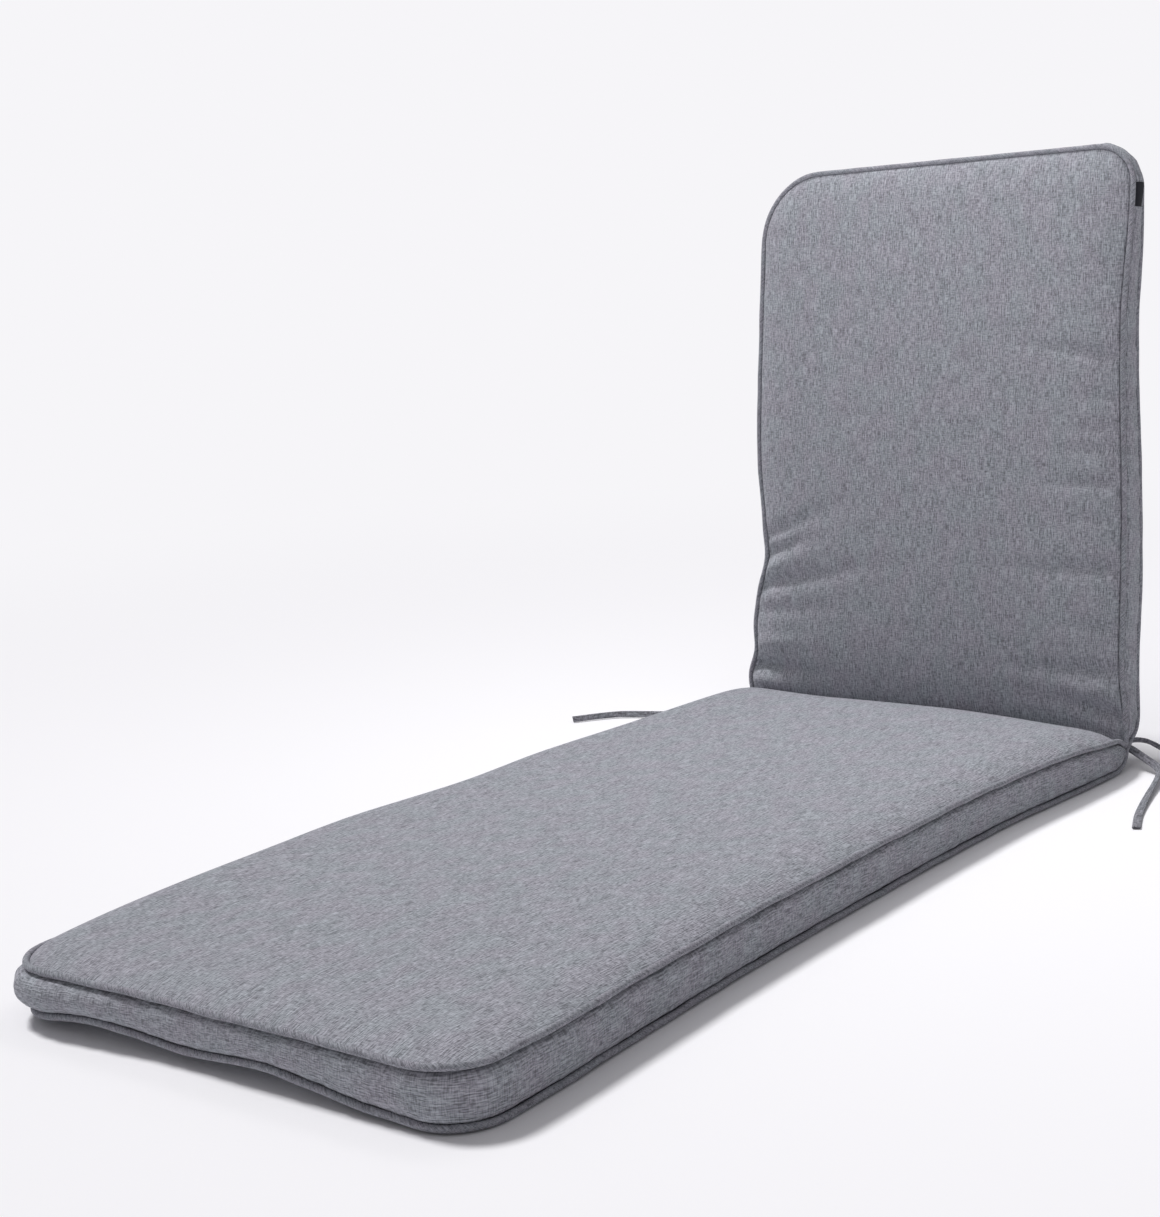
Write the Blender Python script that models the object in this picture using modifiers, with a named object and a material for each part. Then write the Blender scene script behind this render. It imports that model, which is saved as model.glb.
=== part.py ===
"""Sun lounger cushion: a piped box cushion in two filled sections under one cover.

The seat lies flat on the floor and the back stands up from the row of stitching that parts
the two fillings. Metres, +Z up, foot end towards -Y, origin on the floor under the middle.
"""
import math

import bmesh
import bpy
import numpy as np

# Sizes along the cushion, measured from the stitched fold
SEAT_LENGTH = 1.262
BACK_LENGTH = 0.7425
FOLD_X = 0.0090
FOLD_Y = 0.5820
BACK_LEAN = math.radians(6.7)

# Heights in a section: its rear seam, its front seam, and how far the panels fill out
SEAM_LOW = 0.008
SEAM_HIGH = 0.050
EDGE_RISE = {"seat": 0.018, "back": 0.013}
EDGE_REACH = 0.055
LEFT_RISE = {"seat": 0.029, "back": 0.013}
LEFT_REACH = {"seat": 0.036, "back": 0.055}
LEFT_SHARE = 0.16
END_SLACK = 0.28
BROAD_RISE = 0.007
BROAD_REACH = 0.40
REAR_REACH = 0.030
BORDER_BULGE = 0.003
CORNER_BULGE = 0.014
CORNER_TUCK = 0.004
CORNER_REACH = 0.11
FOLD_REACH = 0.035
SINK = 0.009
SINK_FROM = 0.04
SINK_FULL = 0.29
SINK_REACH = 0.085
WEB_FRONT = 0.0012
WEB_REAR = 0.0018

# Piping: its radius, and its centre's place outside and above the seam
PIPING_RADIUS = 0.004
PIPING_OUT = 0.0036
PIPING_UP = 0.0031
PIPING_STEP = 0.0102

# Tie tapes and the woven label
TIE_WIDTH = 0.010
TIE_THICKNESS = 0.0024
LABEL_WIDTH = 0.016
LABEL_HEIGHT = 0.030
LABEL_THICKNESS = 0.0008
LABEL_ALONG = 0.683
LABEL_FROM = 0.93
LABEL_GAP = 0.0005

# Half widths of the cover at its seam, by distance from the fold, and how far the seat's
# left seam hangs below the right one
SEAT_SIDES = (
    {"along": 0.000, "left": -0.287, "right": 0.291, "droop": 0.0000},
    {"along": 0.060, "left": -0.293, "right": 0.294, "droop": 0.0010},
    {"along": 0.150, "left": -0.299, "right": 0.288, "droop": 0.0030},
    {"along": 0.300, "left": -0.308, "right": 0.277, "droop": 0.0050},
    {"along": 0.470, "left": -0.318, "right": 0.275, "droop": 0.0060},
    {"along": 0.620, "left": -0.309, "right": 0.277, "droop": 0.0060},
    {"along": 0.800, "left": -0.321, "right": 0.281, "droop": 0.0060},
    {"along": 0.950, "left": -0.308, "right": 0.288, "droop": 0.0050},
    {"along": 1.050, "left": -0.298, "right": 0.294, "droop": 0.0030},
    {"along": 1.150, "left": -0.287, "right": 0.3005, "droop": 0.0010},
    {"along": 1.262, "left": -0.2715, "right": 0.3020, "droop": 0.0000},
)
BACK_SIDES = (
    {"along": 0.000, "left": -0.287, "right": 0.291},
    {"along": 0.030, "left": -0.292, "right": 0.289},
    {"along": 0.064, "left": -0.283, "right": 0.284},
    {"along": 0.100, "left": -0.285, "right": 0.282},
    {"along": 0.155, "left": -0.278, "right": 0.282},
    {"along": 0.200, "left": -0.266, "right": 0.282},
    {"along": 0.240, "left": -0.270, "right": 0.281},
    {"along": 0.340, "left": -0.282, "right": 0.278},
    {"along": 0.440, "left": -0.284, "right": 0.273},
    {"along": 0.530, "left": -0.283, "right": 0.271},
    {"along": 0.640, "left": -0.281, "right": 0.277},
    {"along": 0.7425, "left": -0.281, "right": 0.280},
)
# The back is thickest low down and thins towards its top: its rear seam moves forward
BACK_THINNING = (
    {"along": 0.000, "forward": 0.0000},
    {"along": 0.060, "forward": -0.0030},
    {"along": 0.150, "forward": -0.0055},
    {"along": 0.280, "forward": -0.0045},
    {"along": 0.380, "forward": -0.0005},
    {"along": 0.500, "forward": 0.0030},
    {"along": 0.580, "forward": 0.0065},
    {"along": 0.660, "forward": 0.0110},
    {"along": 0.7425, "forward": 0.0130},
)
# The foot end is a little askew and drawn in
FOOT_END = (
    {"across": -0.290, "along": 1.276},
    {"across": -0.150, "along": 1.268},
    {"across": -0.050, "along": 1.262},
    {"across": 0.045, "along": 1.2595},
    {"across": 0.130, "along": 1.2565},
    {"across": 0.215, "along": 1.2545},
    {"across": 0.300, "along": 1.250},
)
FOOT_SKEW_REACH = 0.25
# Its lower edge is off the floor between its corners
FOOT_LIFT = (
    {"across": -0.290, "lift": 0.0030},
    {"across": -0.225, "lift": 0.0070},
    {"across": -0.180, "lift": 0.0125},
    {"across": -0.110, "lift": 0.0142},
    {"across": -0.060, "lift": 0.0112},
    {"across": 0.000, "lift": 0.0100},
    {"across": 0.045, "lift": 0.0135},
    {"across": 0.100, "lift": 0.0140},
    {"across": 0.130, "lift": 0.0112},
    {"across": 0.180, "lift": 0.0062},
    {"across": 0.230, "lift": 0.0028},
    {"across": 0.300, "lift": 0.0000},
)
FOOT_LIFT_ALONG = 0.07
CORNER_RADII = {
    "seat": {"left": 0.060, "right": 0.046},
    "back": {"left": 0.092, "right": 0.048},
}

# How the cover turns at the fold, row by row away from it: distance along the front panel,
# place of the rear seam, which way the rear panel faces there (0 is straight behind, 90 is
# along the cushion) and how far it fills out
FOLD_TURN = (
    {"front": 0.007, "rear": 0.0040, "height": 0.0405, "turn": 80, "fill": 0.15},
    {"front": 0.015, "rear": 0.0045, "height": 0.0290, "turn": 88, "fill": 0.40},
    {"front": 0.026, "rear": 0.0055, "height": 0.0190, "turn": 80, "fill": 0.60},
    {"front": 0.040, "rear": 0.0130, "height": 0.0100, "turn": 40, "fill": 0.80},
    {"front": 0.058, "rear": 0.0340, "height": 0.0080, "turn": 0, "fill": 1.00},
    {"front": 0.080, "rear": 0.0700, "height": 0.0080, "turn": 0, "fill": 1.00},
)

# Creases in the back's front panel: where they leave the side seam, how far they rise over
# their reach across the panel, their depth and their half width
BACK_CREASES = (
    {"side": "left", "along": 0.047, "rise": 0.008, "reach": 0.12, "depth": 0.0050, "half": 0.010},
    {"side": "left", "along": 0.105, "rise": 0.000, "reach": 0.12, "depth": 0.0022, "half": 0.010},
    {"side": "left", "along": 0.168, "rise": 0.034, "reach": 0.15, "depth": 0.0055, "half": 0.012},
    {"side": "left", "along": 0.218, "rise": 0.046, "reach": 0.14, "depth": 0.0050, "half": 0.012},
    {"side": "right", "along": 0.067, "rise": 0.010, "reach": 0.12, "depth": 0.0030, "half": 0.011},
    {"side": "right", "along": 0.219, "rise": 0.000, "reach": 0.13, "depth": 0.0030, "half": 0.012},
    {"side": "right", "along": 0.487, "rise": 0.014, "reach": 0.09, "depth": 0.0040, "half": 0.011},
)

# Cuts of the cover: insets from a side, and rows counted from an end or from the fold
COLUMN_INSETS = (0.0, 0.007, 0.018, 0.036, 0.065, 0.110, 0.180)
CUSHION_WIDTH = 0.590
END_ROWS = (0.0, 0.0015, 0.006, 0.014, 0.026, 0.042, 0.062, 0.090)
SEAT_PLAIN_ROWS = 11
BACK_CREASED = (0.070, 0.295, 22)
BACK_PLAIN = (0.330, 0.385, 0.435, 0.460, 0.472, 0.483, 0.494, 0.505, 0.520, 0.560, 0.610)
BORDER_LEVELS = 3

# Routes of the tie tapes from the fold: across, along (towards the back), height, and the
# roll of the tape's width from level
TIE_ROUTES = {
    "tie_right_front": (
        (0.2620, 0.0001, 0.0290, 90),
        (0.2720, 0.0001, 0.0290, 90),
        (0.2800, 0.0007, 0.0288, 88),
        (0.2880, 0.0046, 0.0276, 84),
        (0.2973, 0.0068, 0.0242, 75),
        (0.3096, 0.0010, 0.0208, 68),
        (0.3235, -0.0070, 0.0172, 62),
        (0.3350, -0.0123, 0.0138, 62),
        (0.3439, -0.0181, 0.0105, 72),
        (0.3500, -0.0290, 0.0086, 80),
        (0.3560, -0.0475, 0.0074, 72),
        (0.3635, -0.0759, 0.0058, 45),
        (0.3708, -0.1061, 0.0044, 24),
        (0.3844, -0.1561, 0.0030, 6),
        (0.3979, -0.1997, 0.0022, 0),
        (0.4157, -0.2456, 0.0020, 0),
    ),
    "tie_right_rear": (
        (0.2620, 0.0029, 0.0290, 90),
        (0.2660, 0.0031, 0.0290, 90),
        (0.2700, 0.0041, 0.0290, 88),
        (0.2750, 0.0090, 0.0292, 82),
        (0.2825, 0.0220, 0.0296, 68),
        (0.2905, 0.0365, 0.0293, 52),
        (0.3005, 0.0456, 0.0268, 45),
        (0.3090, 0.0505, 0.0225, 42),
        (0.3180, 0.0580, 0.0150, 35),
        (0.3290, 0.0700, 0.0075, 18),
        (0.3420, 0.0880, 0.0028, 4),
        (0.3560, 0.1120, 0.0020, 0),
        (0.3660, 0.1400, 0.0020, 0),
        (0.3690, 0.1700, 0.0020, 0),
        (0.3640, 0.2000, 0.0020, 0),
        (0.3540, 0.2300, 0.0020, 0),
        (0.3440, 0.2560, 0.0020, 0),
    ),
    "tie_left_front": (
        (-0.2620, 0.0000, 0.0355, 90),
        (-0.2720, 0.0000, 0.0355, 90),
        (-0.2800, 0.0012, 0.0352, 88),
        (-0.2880, 0.0060, 0.0338, 84),
        (-0.2960, 0.0092, 0.0312, 78),
        (-0.3080, 0.0110, 0.0260, 70),
        (-0.3290, 0.0110, 0.0160, 62),
        (-0.3560, 0.0090, 0.0085, 58),
        (-0.3900, 0.0040, 0.0064, 55),
        (-0.4350, -0.0080, 0.0060, 55),
        (-0.4797, -0.0233, 0.0058, 55),
        (-0.5140, -0.0378, 0.0058, 55),
        (-0.5385, -0.0603, 0.0055, 52),
        (-0.5642, -0.0940, 0.0052, 50),
    ),
    "tie_left_rear": (
        (-0.2620, 0.0028, 0.0355, 90),
        (-0.2660, 0.0030, 0.0355, 90),
        (-0.2700, 0.0041, 0.0355, 88),
        (-0.2750, 0.0090, 0.0354, 82),
        (-0.2840, 0.0240, 0.0342, 62),
        (-0.2950, 0.0420, 0.0300, 42),
        (-0.3060, 0.0600, 0.0200, 22),
        (-0.3170, 0.0820, 0.0095, 8),
        (-0.3260, 0.1060, 0.0028, 0),
        (-0.3320, 0.1340, 0.0020, 0),
        (-0.3350, 0.1650, 0.0020, 0),
        (-0.3310, 0.1980, 0.0020, 0),
        (-0.3190, 0.2280, 0.0020, 0),
        (-0.3020, 0.2540, 0.0020, 0),
    ),
}
TIE_CUTS = 34


def through(table, key, value, at):
    """Smooth curve through a table's rows: cubic pieces whose slopes come from the neighbours."""
    x = np.array([row[key] for row in table])
    y = np.array([row[value] for row in table])
    slope = np.gradient(y, x)
    at = np.clip(at, x[0], x[-1])
    cell = np.clip(np.searchsorted(x, at) - 1, 0, len(x) - 2)
    width = x[cell + 1] - x[cell]
    t = (at - x[cell]) / width
    start = y[cell] * (1 + 2 * t) * (1 - t) ** 2 + slope[cell] * width * t * (1 - t) ** 2
    end = y[cell + 1] * t ** 2 * (3 - 2 * t) - slope[cell + 1] * width * t ** 2 * (1 - t)
    return start + end


def swell(distance, reach):
    """Quarter-round rise from 0 at a seam to 1 at the reach, then level."""
    t = np.clip(distance / reach, 0.0, 1.0)
    return np.sqrt(1.0 - (1.0 - t) ** 2)


def side_at(section, side, along):
    """Place across of a section's side seam, before its corner is rounded."""
    return through(SEAT_SIDES if section == "seat" else BACK_SIDES, "along", side, along)


def corner_inset(radius, from_end):
    """How far a rounded corner draws the side in, by the distance from the end."""
    short = np.clip(radius - from_end, 0.0, radius)
    return radius - np.sqrt(radius ** 2 - short ** 2)


def seam_distance(section, across, along, from_end):
    """Distance of a panel's point from the section's outline with its rounded corners."""
    nearest = np.full(np.shape(across), np.inf)
    for side in ("left", "right"):
        radius = CORNER_RADII[section][side]
        inward = np.abs(side_at(section, side, along) - across)
        short_side = np.clip(radius - inward, 0.0, None)
        short_end = np.clip(radius - from_end, 0.0, None)
        rounded = radius - np.hypot(short_side, short_end)
        plain = np.minimum(inward, from_end)
        nearest = np.minimum(nearest, np.where(rounded > 0.999 * radius, plain, rounded))
    return np.clip(nearest, 0.0, None)


def creases(across, along):
    """Depth of the back's creases: soft troughs that start at a side seam and fade inwards."""
    depth = np.zeros(np.shape(across))
    for row in BACK_CREASES:
        inward = np.abs(side_at("back", row["side"], along) - across)
        run = np.clip(inward / row["reach"], 0.0, 1.0)
        centre = row["along"] + row["rise"] * run
        trough = np.exp(-((along - centre) / row["half"]) ** 2)
        strength = np.exp(-2.0 * (inward / row["reach"]) ** 2) * (1.0 - np.exp(-inward / 0.006))
        depth += row["depth"] * strength * trough
    return depth


def front_height(section, across, along, from_end):
    """Height of the front panel: a quick rise inside the seam and a broad low crown."""
    distance = seam_distance(section, across, along, from_end)
    full = swell(from_end, BROAD_REACH)
    broad = np.clip(1.0 - (across / (CUSHION_WIDTH / 2)) ** 2, 0.0, 1.0) * full
    left = np.clip((across - side_at(section, "left", along)) / LEFT_SHARE, 0.0, 1.0)
    left = (1.0 - left * left * (3.0 - 2.0 * left)) * full
    rise = EDGE_RISE[section] + (LEFT_RISE[section] - EDGE_RISE[section]) * left
    reach = EDGE_REACH + (LEFT_REACH[section] - EDGE_REACH) * left
    edge = rise * (1.0 - END_SLACK * (1.0 - full)) * swell(distance, reach)
    held = 1.0 - np.exp(-along / FOLD_REACH)
    height = (edge + BROAD_RISE * broad) * held
    if section == "back":
        return SEAM_HIGH + height - creases(across, along)
    return SEAM_HIGH + height - through(SEAT_SIDES, "along", "droop", along) * left


def to_world(section, across, along, height):
    """Seat points lie over the floor; back points stand on the fold and lean back."""
    across = FOLD_X + across
    if section == "seat":
        return np.stack([across, FOLD_Y - along, height], axis=-1)
    above = height - SEAM_HIGH
    y = FOLD_Y + along * math.sin(BACK_LEAN) - above * math.cos(BACK_LEAN)
    z = SEAM_HIGH + along * math.cos(BACK_LEAN) + above * math.sin(BACK_LEAN)
    return np.stack([across, y, z], axis=-1)


def sunk(place):
    """Lowers what is near the fold's right end, where the back's weight has pressed the seat."""
    x, y, z = (place[..., axis] for axis in range(3))
    share = np.clip((x - FOLD_X - SINK_FROM) / (SINK_FULL - SINK_FROM), 0.0, 1.0)
    share = share * share * (3.0 - 2.0 * share)
    near = np.exp(-((y - FOLD_Y) ** 2 + (z - SEAM_HIGH) ** 2) / SINK_REACH ** 2)
    drop = SINK * share * near * np.clip(z / SEAM_HIGH, 0.0, 1.0)
    return np.stack([x, y, z - drop], axis=-1)


def section_rows(section):
    """Rows of a section, from the fold outwards, each with its front and rear seam's place."""
    length = SEAT_LENGTH if section == "seat" else BACK_LENGTH
    rows = [dict(row) for row in FOLD_TURN]
    last = rows[-1]["front"]
    if section == "seat":
        plain = np.linspace(last, length - 0.12, SEAT_PLAIN_ROWS + 1)[1:]
    else:
        rows = rows[:-1]
        plain = list(np.linspace(*BACK_CREASED)) + list(BACK_PLAIN)
    ends = [length - inset for inset in reversed(END_ROWS)]
    for along in list(plain) + ends:
        rows.append({"front": along, "rear": along, "height": SEAM_LOW, "turn": 0, "fill": 1.0})
    return rows


def column_shares():
    """Shares of the local width at which the cover is cut, closer together near the sides."""
    left = [inset / CUSHION_WIDTH for inset in COLUMN_INSETS]
    return np.array(left + [0.5] + [1.0 - share for share in reversed(left)])


def foot_shift(across, from_end):
    """How far the askew foot end moves a seat row along, fading away from the end."""
    skew = through(FOOT_END, "across", "along", across) - SEAT_LENGTH
    return skew * np.exp(-(from_end / FOOT_SKEW_REACH) ** 2)


def foot_lift(across, from_end):
    """How far the foot end's lower edge is off the floor, fading away from the end."""
    return through(FOOT_LIFT, "across", "lift", across) * np.exp(-(from_end / FOOT_LIFT_ALONG) ** 2)


def section_row(section, row, shares):
    """One row across a section: its front points, rear points and outward directions."""
    length = SEAT_LENGTH if section == "seat" else BACK_LENGTH
    from_end = length - row["front"]
    radii = CORNER_RADII[section]
    inset_left = corner_inset(radii["left"], from_end)
    inset_right = corner_inset(radii["right"], from_end)
    left = side_at(section, "left", row["front"]) + inset_left
    right = side_at(section, "right", row["front"]) - inset_right
    across = left + (right - left) * shares
    ends = np.full(across.shape, from_end)
    front = np.full(across.shape, row["front"])
    rear = np.full(across.shape, row["rear"])
    height = front_height(section, across, front, ends)
    distance = seam_distance(section, across, front, ends)
    fill = SEAM_LOW * row["fill"] * swell(distance, REAR_REACH)
    turn = math.radians(row["turn"])
    rear_along = rear - fill * math.sin(turn)
    rear_height = row["height"] - fill * math.cos(turn)
    rear_across = across
    bulge = np.full(across.shape, BORDER_BULGE)
    if section == "seat":
        shift = foot_shift(across, ends)
        front = front + shift
        rear_along = rear_along + shift
        rear_height = rear_height + foot_lift(across, ends)
        tucked = np.exp(-(from_end / CORNER_REACH) ** 2) * np.exp(-((across - left) / CORNER_REACH) ** 2)
        rear_across = across + CORNER_TUCK * tucked
        bulge = bulge + CORNER_BULGE * tucked
    else:
        rear_height = rear_height + through(BACK_THINNING, "along", "forward", rear)
    outward = np.zeros((len(shares), 2))
    outward[0] = (inset_left / radii["left"] - 1.0, max(0.0, 1.0 - from_end / radii["left"]))
    outward[-1] = (1.0 - inset_right / radii["right"], max(0.0, 1.0 - from_end / radii["right"]))
    if from_end < 1e-9:
        outward[:] = (0.0, 1.0)
    sign = -1.0 if section == "seat" else 1.0
    lean = 0.0 if section == "seat" else BACK_LEAN
    seat = section == "seat"
    along_axis = np.array([0.0, -1.0, 0.0]) if seat else np.array([0.0, math.sin(lean), math.cos(lean)])
    up_axis = np.array([0.0, 0.0, 1.0]) if seat else np.array([0.0, -math.cos(lean), math.sin(lean)])
    return {
        "front": to_world(section, across, front, height),
        "rear": to_world(section, rear_across, rear_along, rear_height),
        "outward": outward[:, :1] * np.array([1.0, 0.0, 0.0]) + outward[:, 1:] * along_axis,
        "bulge": bulge,
        "front_up": up_axis,
        "rear_up": -(math.cos(turn) * up_axis + math.sin(turn) * along_axis),
        "corner": from_end < 0.07 or row["front"] < 0.045,
    }


def fold_row(shares):
    """The stitched row: the front and rear panels held a few millimetres apart."""
    left = side_at("seat", "left", 0.0)
    right = side_at("seat", "right", 0.0)
    across = FOLD_X + left + (right - left) * shares
    flat = np.ones(across.shape)
    slant = math.sqrt(0.5)
    outward = np.zeros((len(shares), 3))
    outward[0, 0] = -1.0
    outward[-1, 0] = 1.0
    return {
        "front": np.stack([across, (FOLD_Y - WEB_FRONT) * flat, (SEAM_HIGH + WEB_FRONT) * flat], -1),
        "rear": np.stack([across, (FOLD_Y + WEB_REAR) * flat, (SEAM_HIGH - WEB_REAR) * flat], -1),
        "outward": outward,
        "bulge": BORDER_BULGE * flat,
        "front_up": np.array([0.0, -slant, slant]),
        "rear_up": np.array([0.0, slant, -slant]),
        "corner": True,
    }


def cover_rows():
    """All rows of the cover, from the foot end over the fold to the top of the back."""
    shares = column_shares()
    seat = [section_row("seat", row, shares) for row in reversed(section_rows("seat"))]
    back = [section_row("back", row, shares) for row in section_rows("back")]
    return seat + [fold_row(shares)] + back


def cut_block(counts):
    """A block whose sides are whole numbers long, cut through at every whole number."""
    mesh = bmesh.new()
    bmesh.ops.create_cube(mesh, size=1.0)
    bmesh.ops.translate(mesh, verts=mesh.verts, vec=(0.5, 0.5, 0.5))
    bmesh.ops.scale(mesh, verts=mesh.verts, vec=counts)
    for axis, count in enumerate(counts):
        for cut in range(1, count):
            point = [0.0, 0.0, 0.0]
            point[axis] = cut
            normal = [0.0, 0.0, 0.0]
            normal[axis] = 1.0
            everything = mesh.verts[:] + mesh.edges[:] + mesh.faces[:]
            bmesh.ops.bisect_plane(mesh, geom=everything, dist=1e-4, plane_co=point, plane_no=normal)
    return mesh


def material(name, colour, roughness):
    """A matt cloth finish."""
    finish = bpy.data.materials.new(name)
    finish.use_nodes = True
    shader = finish.node_tree.nodes["Principled BSDF"]
    shader.inputs["Base Color"].default_value = (*colour, 1.0)
    shader.inputs["Roughness"].default_value = roughness
    shader.inputs["Metallic"].default_value = 0.0
    return finish


def add_object(name, data, collection, finish):
    """Puts a mesh or curve in the collection under its name, with its own material."""
    piece = bpy.data.objects.new(name, data)
    data.materials.append(finish)
    collection.objects.link(piece)
    return piece


def add_cushion(rows, collection):
    """The filled cover: a cut block whose points are carried to the panels and the border."""
    last_column = len(rows[0]["front"]) - 1
    last_row = len(rows) - 1
    mesh = cut_block((last_column, last_row, BORDER_LEVELS))
    for vertex in mesh.verts:
        column, row_number, level = (round(value) for value in vertex.co)
        row = rows[row_number]
        share = level / BORDER_LEVELS
        place = row["rear"][column] * (1.0 - share) + row["front"][column] * share
        bulge = row["bulge"][column] * 4.0 * share * (1.0 - share)
        vertex.co = sunk(place + row["outward"][column] * bulge)
    flat = [edge for edge in mesh.edges if all(abs(v.co.z) < 1e-7 for v in edge.verts)]
    points = list({vertex for edge in flat for vertex in edge.verts})
    bmesh.ops.dissolve_limit(mesh, angle_limit=math.radians(0.01), verts=points, edges=flat)
    data = bpy.data.meshes.new("cushion")
    mesh.to_mesh(data)
    mesh.free()
    data.shade_smooth()
    data.set_sharp_from_angle(angle=math.radians(50))
    return add_object("cushion", data, collection, material("cushion_cloth", (0.175, 0.185, 0.205), 0.92))


def seam_loop(rows, panel):
    """Points and directions round a panel's seam: foot end, right side, top, left side."""
    last = len(rows[0]["front"]) - 1
    stops = [(rows[0], column) for column in range(last + 1)]
    stops += [(row, last) for row in rows[1:]]
    stops += [(rows[-1], column) for column in range(last - 1, -1, -1)]
    stops += [(row, 0) for row in reversed(rows[1:-1])]
    points = []
    for row, column in stops:
        place = row[panel][column] + row["outward"][column] * PIPING_OUT + row[panel + "_up"] * PIPING_UP
        place = sunk(place)
        near = points and np.linalg.norm(place - points[-1]) < PIPING_STEP
        if near and not row["corner"]:
            continue
        points.append(place)
    return points


def add_piping(rows, panel, collection):
    """A round piping cord that follows a panel's seam all the way round."""
    points = seam_loop(rows, panel)
    curve = bpy.data.curves.new("piping_" + panel, "CURVE")
    curve.dimensions = "3D"
    curve.bevel_depth = PIPING_RADIUS
    curve.bevel_resolution = 2
    curve.use_fill_caps = True
    line = curve.splines.new("POLY")
    line.points.add(len(points) - 1)
    for point, place in zip(line.points, points):
        point.co = (*place, 1.0)
    line.use_cyclic_u = True
    return add_object(curve.name, curve, collection, material(curve.name + "_cloth", (0.150, 0.158, 0.175), 0.92))


def route_frame(route, share):
    """Centre, direction and width direction of a tape at a share of its route."""
    table = [dict(zip(("x", "y", "z", "roll"), row), step=step) for step, row in enumerate(route)]
    at = share * (len(route) - 1)
    centre = np.stack([through(table, "step", axis, at) for axis in ("x", "y", "z")], axis=-1)
    roll = np.radians(through(table, "step", "roll", at))[:, None]
    direction = np.gradient(centre, axis=0)
    direction /= np.linalg.norm(direction, axis=1, keepdims=True)
    level = np.cross(direction, [0.0, 0.0, 1.0])
    level /= np.linalg.norm(level, axis=1, keepdims=True)
    rise = np.cross(level, direction)
    return centre, np.cos(roll) * level + np.sin(roll) * rise


def add_tie(name, route, collection):
    """A flat tape that leaves the fold and lies on the floor, with a thickness all round."""
    mesh = bmesh.new()
    bmesh.ops.create_grid(mesh, x_segments=TIE_CUTS, y_segments=1, size=0.5)
    share = np.array([vertex.co.x + 0.5 for vertex in mesh.verts])
    order = np.argsort(share, kind="stable")
    stations = np.unique(np.round(share, 6))
    centre, width = route_frame(route, stations)
    for number in order:
        mesh.verts.ensure_lookup_table()
        vertex = mesh.verts[int(number)]
        station = int(np.argmin(np.abs(stations - share[number])))
        side = math.copysign(0.5, vertex.co.y)
        vertex.co = centre[station] + (FOLD_X, FOLD_Y, 0.0) + width[station] * side * TIE_WIDTH
    data = bpy.data.meshes.new(name)
    mesh.to_mesh(data)
    mesh.free()
    piece = add_object(name, data, collection, material(name + "_cloth", (0.165, 0.173, 0.190), 0.9))
    wall = piece.modifiers.new("thickness", "SOLIDIFY")
    wall.thickness = TIE_THICKNESS
    wall.offset = 0.0
    wall.use_even_offset = True
    return piece


def add_label(collection):
    """A small woven label lying on the border, its front edge in the seam."""
    mesh = bmesh.new()
    bmesh.ops.create_grid(mesh, x_segments=3, y_segments=3, size=0.5)
    shares = column_shares()
    for vertex in mesh.verts:
        along = LABEL_ALONG + vertex.co.x * LABEL_HEIGHT
        plain = {"front": along, "rear": along, "height": SEAM_LOW, "turn": 0, "fill": 1.0}
        row = section_row("back", plain, shares)
        front, rear, outward = (row[key][-1] for key in ("front", "rear", "outward"))
        share = LABEL_FROM - (vertex.co.y + 0.5) * LABEL_WIDTH / np.linalg.norm(front - rear)
        bulge = BORDER_BULGE * 4.0 * share * (1.0 - share)
        clear = bulge + LABEL_GAP + LABEL_THICKNESS / 2
        vertex.co = rear * (1.0 - share) + front * share + outward * clear
    data = bpy.data.meshes.new("label")
    mesh.to_mesh(data)
    mesh.free()
    piece = add_object("label", data, collection, material("label_weave", (0.012, 0.014, 0.022), 0.7))
    wall = piece.modifiers.new("thickness", "SOLIDIFY")
    wall.thickness = LABEL_THICKNESS
    wall.offset = 0.0
    return piece


for old in list(bpy.data.objects):
    bpy.data.objects.remove(old)
cushion_parts = bpy.data.collections.new("sun_lounger_cushion")
bpy.context.scene.collection.children.link(cushion_parts)
cover = cover_rows()
add_cushion(cover, cushion_parts)
add_piping(cover, "front", cushion_parts)
add_piping(cover, "rear", cushion_parts)
for tie_name, tie_route in TIE_ROUTES.items():
    add_tie(tie_name, tie_route, cushion_parts)
add_label(cushion_parts)
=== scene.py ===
"""Looks of the sun lounger cushion: heathered woven cover, piping, tie tapes and a bare label.

Metres, +Z up, foot end towards -Y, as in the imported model.
"""
import math

import bpy
import numpy as np
from mathutils import Matrix, Vector


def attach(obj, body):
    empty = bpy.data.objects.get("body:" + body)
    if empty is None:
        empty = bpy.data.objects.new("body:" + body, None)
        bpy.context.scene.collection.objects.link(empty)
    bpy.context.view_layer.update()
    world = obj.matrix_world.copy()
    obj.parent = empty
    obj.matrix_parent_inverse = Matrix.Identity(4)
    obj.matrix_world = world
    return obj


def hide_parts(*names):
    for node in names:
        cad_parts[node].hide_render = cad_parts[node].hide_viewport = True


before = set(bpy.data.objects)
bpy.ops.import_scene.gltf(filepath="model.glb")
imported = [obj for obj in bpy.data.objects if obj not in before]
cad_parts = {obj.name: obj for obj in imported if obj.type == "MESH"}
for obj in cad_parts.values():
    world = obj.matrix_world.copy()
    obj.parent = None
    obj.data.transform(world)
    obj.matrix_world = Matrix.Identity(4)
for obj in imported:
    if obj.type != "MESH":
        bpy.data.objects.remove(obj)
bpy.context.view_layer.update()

scene = bpy.context.scene
scene.view_settings.view_transform = "Standard"

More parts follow.
